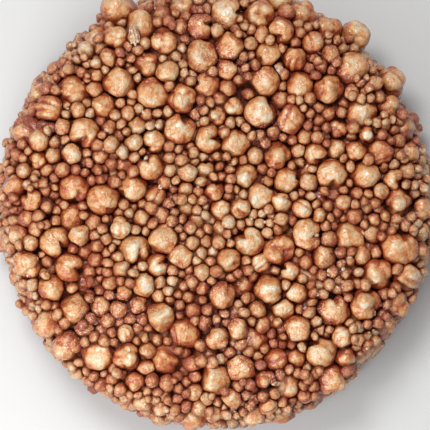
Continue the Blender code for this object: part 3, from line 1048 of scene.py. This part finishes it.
def neck_mesh(name, first, second, draw):
    """Waisted necks from the inside of one grain to the inside of the other."""
    start = grain_centres[first]
    line = grain_centres[second] - start
    far = lengths(line)[:, None]
    line = line / far
    low = grain_radii[first][:, None] * NECK_SUNK
    high = far - grain_radii[second][:, None] * NECK_SUNK
    wide = np.minimum(grain_radii[first], grain_radii[second]) * draw.uniform(*NECK_WIDTH, len(first))
    across = unit(np.cross(line, np.array([0.31, 0.52, 0.79])))
    upward = np.cross(line, across)
    points = []
    for ring in range(NECK_RINGS):
        share = ring / (NECK_RINGS - 1)
        slim = NECK_WAIST + (1.0 - NECK_WAIST) * (2.0 * share - 1.0) ** 2
        for side in range(NECK_SIDES):
            turn = math.tau * side / NECK_SIDES
            out = (math.cos(turn) * across + math.sin(turn) * upward) * (wide * slim)[:, None]
            points.append(start + line * (low + (high - low) * share) + out)
    points = np.stack(points, axis=1)
    faces = []
    for ring in range(NECK_RINGS - 1):
        for side in range(NECK_SIDES):
            corner = ring * NECK_SIDES + side
            after = ring * NECK_SIDES + (side + 1) % NECK_SIDES
            faces.append((corner, after, after + NECK_SIDES, corner + NECK_SIDES))
    last = (NECK_RINGS - 1) * NECK_SIDES
    for side in range(1, NECK_SIDES - 1, 2):
        faces.append((0, side + 2, side + 1, side))
        faces.append((last, last + side, last + side + 1, last + side + 2))
    return joined_grains(name, points, np.array(faces), {})


first, second = pairs_within(grain_centres.T, grain_radii, NECK_REACH)
open_pair = np.minimum(grain_openness[first], grain_openness[second])
ranked = np.argsort(-open_pair, kind="stable")
ranked = ranked[open_pair[ranked] > NECK_OPENNESS]
draw = np.random.default_rng([SEED, 40])
ranked = ranked[draw.permutation(len(ranked))[:NECKS]]
mesh = neck_mesh("syrup_necks", first[ranked], second[ranked], draw)
fix_to_bite("syrup_necks", mesh, set_syrup("milky_cocoa_syrup", 0.42, 0.26))


# --------------------------------------
# Hull flakes and crumbs. Thin curved flakes of torn hull and patches of pale crumbs stuck to the
# syrup as the bite was pressed, with one larger ribbed scrap of hull near the far edge. They are dry,
# and lighter than the coated grain.
FLAKES = 46
FLAKE_CUTS = 4
FLAKE_SIZE = (0.45, 0.95)
CRUMBS = 420
CRUMB_CUTS = 2
CRUMB_SIZE = (0.15, 0.34)
CRUMB_PATCHES = (5.0, 1.0)
CRUMB_BARE = 0.22
CRUMB_OPENNESS = 0.09
TORN_HULL = (-9.2, 19.4, 1.15, -80.0)
TORN_HULL_LIFT = 0.25
TORN_HULL_CUTS = 12
HULL_STREAKS = 0.30
HULL_GRAIN = 0.12
DRY_HULL = (0.72, 0.56, 0.42, 1.0)
DRY_HULL_DARK = (0.30, 0.14, 0.07, 1.0)


def dry_crumb(name):
    """Dry torn hull and crumb: pale, matt and rough, with darker streaks."""
    material, tree = new_finish(name)
    streaks = between(tree, grain_noise(tree, HULL_STREAKS, 3.0), 0.38, 0.66)
    return finished(material, {
        "Base Color": mixed(tree, streaks, DRY_HULL_DARK, DRY_HULL),
        "Roughness": between(tree, streaks, 0.0, 1.0, 0.42, 0.6),
        "Normal": wrinkles(tree, grain_noise(tree, HULL_GRAIN, 2.0), 0.04, 0.6),
    })


def stuck_on(count, sizes, draw):
    """Places in the creases between open grains, and the way out of the heap at each."""
    x, y, _ = grain_centres[first].T
    patches = {CRUMB_PATCHES[0]: draw.uniform(-1, 1, (LUMP_GRID, LUMP_GRID))}
    gathered = lumps(x, y, CRUMB_PATCHES, patches) > CRUMB_BARE
    open_enough = np.nonzero((open_pair > CRUMB_OPENNESS) & gathered)[0]
    chosen = open_enough[draw.integers(0, len(open_enough), count)]
    one, other = first[chosen], second[chosen]
    share = draw.uniform(0.35, 0.65, (count, 1))
    middle = grain_centres[one] * (1 - share) + grain_centres[other] * share
    lift = np.minimum(grain_radii[one], grain_radii[other]) * draw.uniform(0.45, 0.85, count)
    out = unit(grain_outward[one] + 0.25 * draw.normal(size=(count, 3)))
    return middle + out * lift[:, None], out, draw.uniform(*sizes, (count, 1, 1))


def lay_loose(name, count, cuts, sizes, shape, number, finish):
    """One piece of small dry things."""
    draw = np.random.default_rng([SEED, number])
    places, out, size = stuck_on(count, sizes, draw)
    ball, faces = cube_ball(cuts)
    forms = shape(ball, count, draw) * size
    points = np.einsum("nvc,ndc->nvd", forms, turned_outward(out, 0.35, draw)) + places[:, None]
    fix_to_bite(name, joined_grains(name, points, faces, {}), finish)


def flake_forms(ball, count, draw):
    """Thin curved slivers with a ragged outline."""
    forms = ball[None] * (1.0 + 0.16 * wobble(ball, count, 5.0, draw))[:, :, None]
    forms[:, :, 1] *= draw.uniform(0.25, 0.6, (count, 1))
    forms[:, :, 2] *= 0.07
    forms[:, :, 2] -= draw.uniform(0.1, 0.35, (count, 1)) * forms[:, :, 0] ** 2
    return forms


def crumb_forms(ball, count, draw):
    """Broken bits, long or squat."""
    forms = ball[None] * (1.0 + 0.2 * wobble(ball, count, 4.0, draw))[:, :, None]
    return forms * draw.uniform(0.6, 1.2, (count, 1, 3))


def torn_hull_form(ball):
    """A ribbed, bowed scrap of hull, wider and ragged at the end that its own Y points to."""
    across, along, thick = ball.T
    wide = 0.52 * across * (1.0 + 0.32 * along)
    ribs = 0.09 * np.cos(10.0 * across) - 0.28 * across ** 2
    return np.column_stack((wide, along * (1.0 + 0.12 * np.cos(9.0 * across)), 0.06 * thick + ribs))


crumb_finish = dry_crumb("dry_hull_and_crumb")
x, y, size, bearing = TORN_HULL
aside = np.hypot(grain_centres[:, 0] - x, grain_centres[:, 1] - y)
tops = grain_centres[:, 2] + np.sqrt(np.maximum(grain_radii ** 2 - aside ** 2, 0.0))
draw = np.random.default_rng([SEED, 50])
ball, faces = cube_ball(TORN_HULL_CUTS)
turn = turned_outward(np.array([[0.0, 0.0, 1.0]]), 0.12, draw, np.array([math.radians(bearing)]))[0]
height = tops[aside < grain_radii].max() + TORN_HULL_LIFT
points = torn_hull_form(ball) * size @ turn.T + np.array([x, y, height])
mesh = joined_grains("torn_hull", points[None], faces, {})
fix_to_bite("torn_hull", mesh, crumb_finish)
lay_loose("hull_flakes", FLAKES, FLAKE_CUTS, FLAKE_SIZE, flake_forms, 51, crumb_finish)
lay_loose("pale_crumbs", CRUMBS, CRUMB_CUTS, CRUMB_SIZE, crumb_forms, 52, crumb_finish)

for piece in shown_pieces():
    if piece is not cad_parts["amaranth_bite"]:
        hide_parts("amaranth_bite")


# --------------------------------------
# Table, light and camera. The bite lies on a plain pale table under two large soft lights beyond its
# far edge, with a weaker one at the near left. The camera looks straight down on it.
TABLE_SIZE = 2400.0
TABLE_PATCHES = 30.0
TABLE_PALE = (0.545, 0.548, 0.550, 1.0)
TABLE_WORN = (0.520, 0.523, 0.525, 1.0)
DAYLIGHT = (1.0, 0.995, 0.98, 1.0)
DAYLIGHT_LOW = 0.20
DAYLIGHT_HIGH = 0.57
CAMERA_LENS = 439.1
CAMERA_HEIGHT = 600.0
CAMERA_OVER = (-0.05, -0.8)

# Name, bearing and height in degrees, how far and how wide in millimetres, and power in watts.
SOFT_LIGHTS = (
    ("key_light", 105.0, 55.0, 420.0, 200.0, 0.42),
    ("glint_light", 116.0, 62.0, 420.0, 140.0, 0.86),
    ("fill_light", 232.0, 38.0, 130.0, 90.0, 0.135),
)

table_mesh = bmesh.new()
bmesh.ops.create_grid(table_mesh, x_segments=8, y_segments=8, size=TABLE_SIZE * MM / 2)
table_data = bpy.data.meshes.new("pale_table")
table_mesh.to_mesh(table_data)
table_mesh.free()
material, tree = new_finish("pale_table_top")
worn = mixed(tree, grain_noise(tree, TABLE_PATCHES, 3.0), TABLE_WORN, TABLE_PALE)
table_data.materials.append(finished(material, {"Base Color": worn, "Roughness": 0.55}))
table = in_scene("pale_table", table_data)

for name, bearing, height, far, wide, power in SOFT_LIGHTS:
    turn = math.radians(bearing)
    rise = math.radians(height)
    way = Vector((math.cos(turn) * math.cos(rise), math.sin(turn) * math.cos(rise), math.sin(rise)))
    lamp = bpy.data.lights.new(name, "AREA")
    lamp.size = wide * MM
    lamp.energy = power
    light = in_scene(name, lamp)
    light.location = way * far * MM
    light.rotation_euler = way.to_track_quat("Z", "Y").to_euler()

world = bpy.data.worlds.new("pale_room")
world.use_nodes = True
sky = world.node_tree
aim = shader_node(sky, "TexCoord", {}).outputs["Generated"]
level = shader_node(sky, "SeparateXYZ", {0: aim}).outputs["Z"]
strength = between(sky, level, 0.0, 0.9, DAYLIGHT_LOW, DAYLIGHT_HIGH)
fill_sockets(sky, sky.nodes["Background"], {"Color": DAYLIGHT, "Strength": strength})
bpy.context.scene.world = world

lens = bpy.data.cameras.new("camera")
lens.lens = CAMERA_LENS
lens.sensor_width = 36.0
lens.clip_start = 0.01
camera = in_scene("camera", lens)
camera.location = (CAMERA_OVER[0] * MM, CAMERA_OVER[1] * MM, CAMERA_HEIGHT * MM)
bpy.context.scene.camera = camera
bpy.context.scene.view_settings.view_transform = "Standard"
